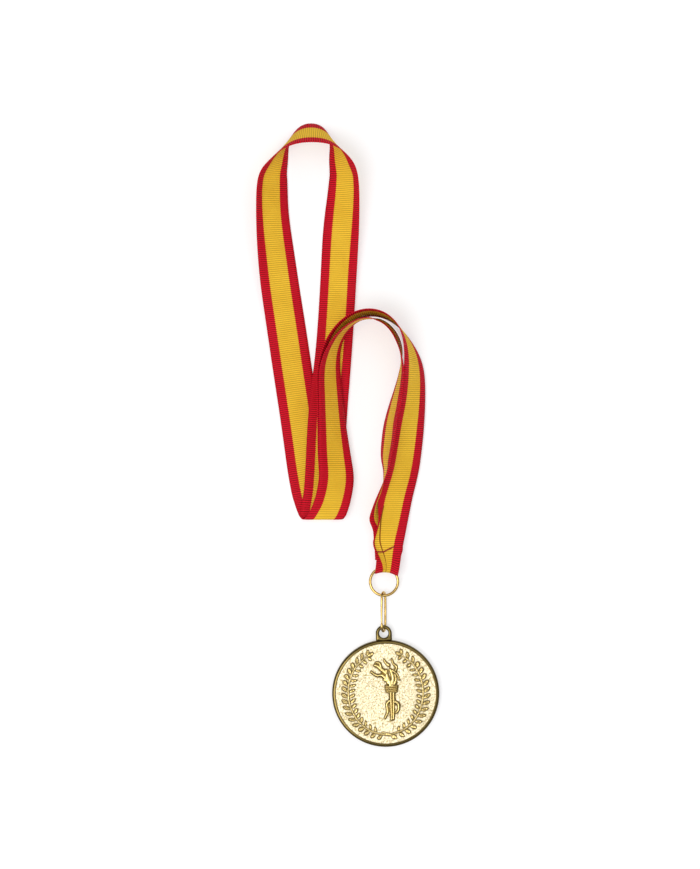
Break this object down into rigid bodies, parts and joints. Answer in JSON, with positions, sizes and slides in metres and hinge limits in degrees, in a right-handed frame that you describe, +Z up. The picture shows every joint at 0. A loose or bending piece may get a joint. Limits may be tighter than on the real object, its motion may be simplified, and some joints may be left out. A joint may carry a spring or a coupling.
{
  "type": "medal on neck ribbon",
  "caption": "Round award medal with a laurel and torch relief, hung by a wire snap hook and jump ring from a sewn grosgrain neck ribbon.",
  "frame": {"origin": "the middle of the flat back of the medal's disc, which lies face up", "axes": "+Y from the disc towards the ribbon, +Z up from the table, +X to the right"},
  "size_m": [0.0851, 0.291, 0.0207],
  "materials": {
    "medal_gold": "sand blasted field inside a polished rim",
    "hardware_gold": "polished wire",
    "ribbon": "grosgrain, red with a yellow middle stripe",
    "thread": "sewing thread"
  },
  "bodies": {
    "neck_ribbon": {"ribbon": "ribbon", "needle_thread": "thread", "bobbin_thread": "thread"},
    "jump_ring": {"ring": "hardware_gold"},
    "snap_hook": {"hook_body": "hardware_gold"},
    "spring_arm": {"hook_spring_arm": "hardware_gold"},
    "medal": {"medal_disc": "medal_gold"}
  },
  "joints": [
    {"name": "ring_swing", "type": "hinge", "parent": "neck_ribbon", "child": "jump_ring", "pos_m": [-0.0008, 0.0585, 0.00265], "axis": [1, 0, 0], "range_deg": [-60, 60]},
    {"name": "hook_swing", "type": "hinge", "parent": "jump_ring", "child": "snap_hook", "pos_m": [-0.00105, 0.0456, 0.00265], "axis": [1, 0, 0], "range_deg": [-60, 60]},
    {"name": "medal_swing", "type": "hinge", "parent": "snap_hook", "child": "medal", "pos_m": [-0.00103, 0.03095, 0.00221], "axis": [0.9995, 0.0332, 0], "range_deg": [-60, 60]},
    {"name": "hook_open", "type": "hinge", "parent": "snap_hook", "child": "spring_arm", "pos_m": [-0.00188, 0.0439, 0.00521], "axis": [0.9511, 0, 0.309], "range_deg": [0, 12]}
  ]
}
